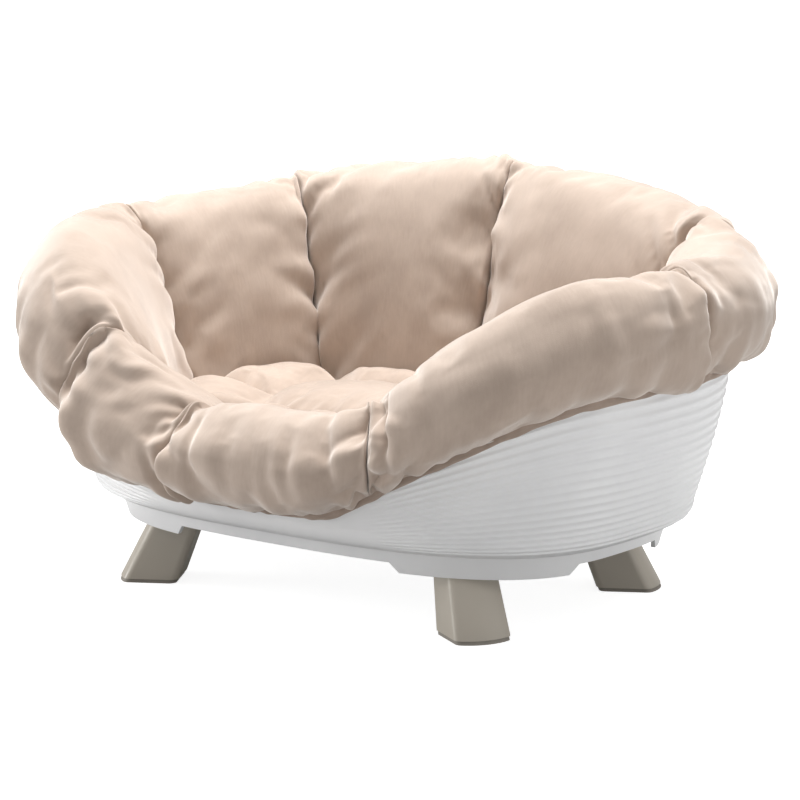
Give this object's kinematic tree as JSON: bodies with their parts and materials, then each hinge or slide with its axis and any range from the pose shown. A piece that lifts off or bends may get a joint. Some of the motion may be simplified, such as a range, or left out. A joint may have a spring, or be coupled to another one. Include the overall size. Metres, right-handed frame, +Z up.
{
  "type": "raised pet bed",
  "caption": "Raised oval bed for a small dog or cat: ribbed plastic tub on splayed legs with a lift-off padded cover.",
  "frame": {"origin": "on the floor, under the middle of the bed", "axes": "+X along the bed to the right as seen from the low entrance, +Y to the back, +Z up"},
  "size_m": [0.6093, 0.444, 0.3161],
  "materials": {
    "tub": "satin",
    "leg": "satin",
    "foot_rubber": "matte",
    "screw": "satin",
    "cover_cloth": "matte",
    "hem_cloth": "matte",
    "elastic": "matte"
  },
  "bodies": {
    "basket": {"basket_shell": "tub", "leg_front_left": "leg", "leg_front_right": "leg", "leg_rear_left": "leg", "leg_rear_right": "leg", "foot_pad_front_left": "foot_rubber", "foot_pad_front_right": "foot_rubber", "foot_pad_rear_left": "foot_rubber", "foot_pad_rear_right": "foot_rubber", "leg_screws": "screw"},
    "cushion": {"panel_left": "cover_cloth", "panel_front_left": "cover_cloth", "panel_front": "cover_cloth", "panel_front_right": "cover_cloth", "panel_right": "cover_cloth", "panel_rear_right": "cover_cloth", "panel_rear": "cover_cloth", "panel_rear_left": "cover_cloth", "floor_pad": "cover_cloth", "hem_tape": "hem_cloth", "hem_elastic": "elastic"}
  },
  "joints": [
    {"name": "cushion_lift", "type": "slide", "parent": "basket", "child": "cushion", "axis": [0, 0, 1], "range_m": [0, 0.25]}
  ]
}
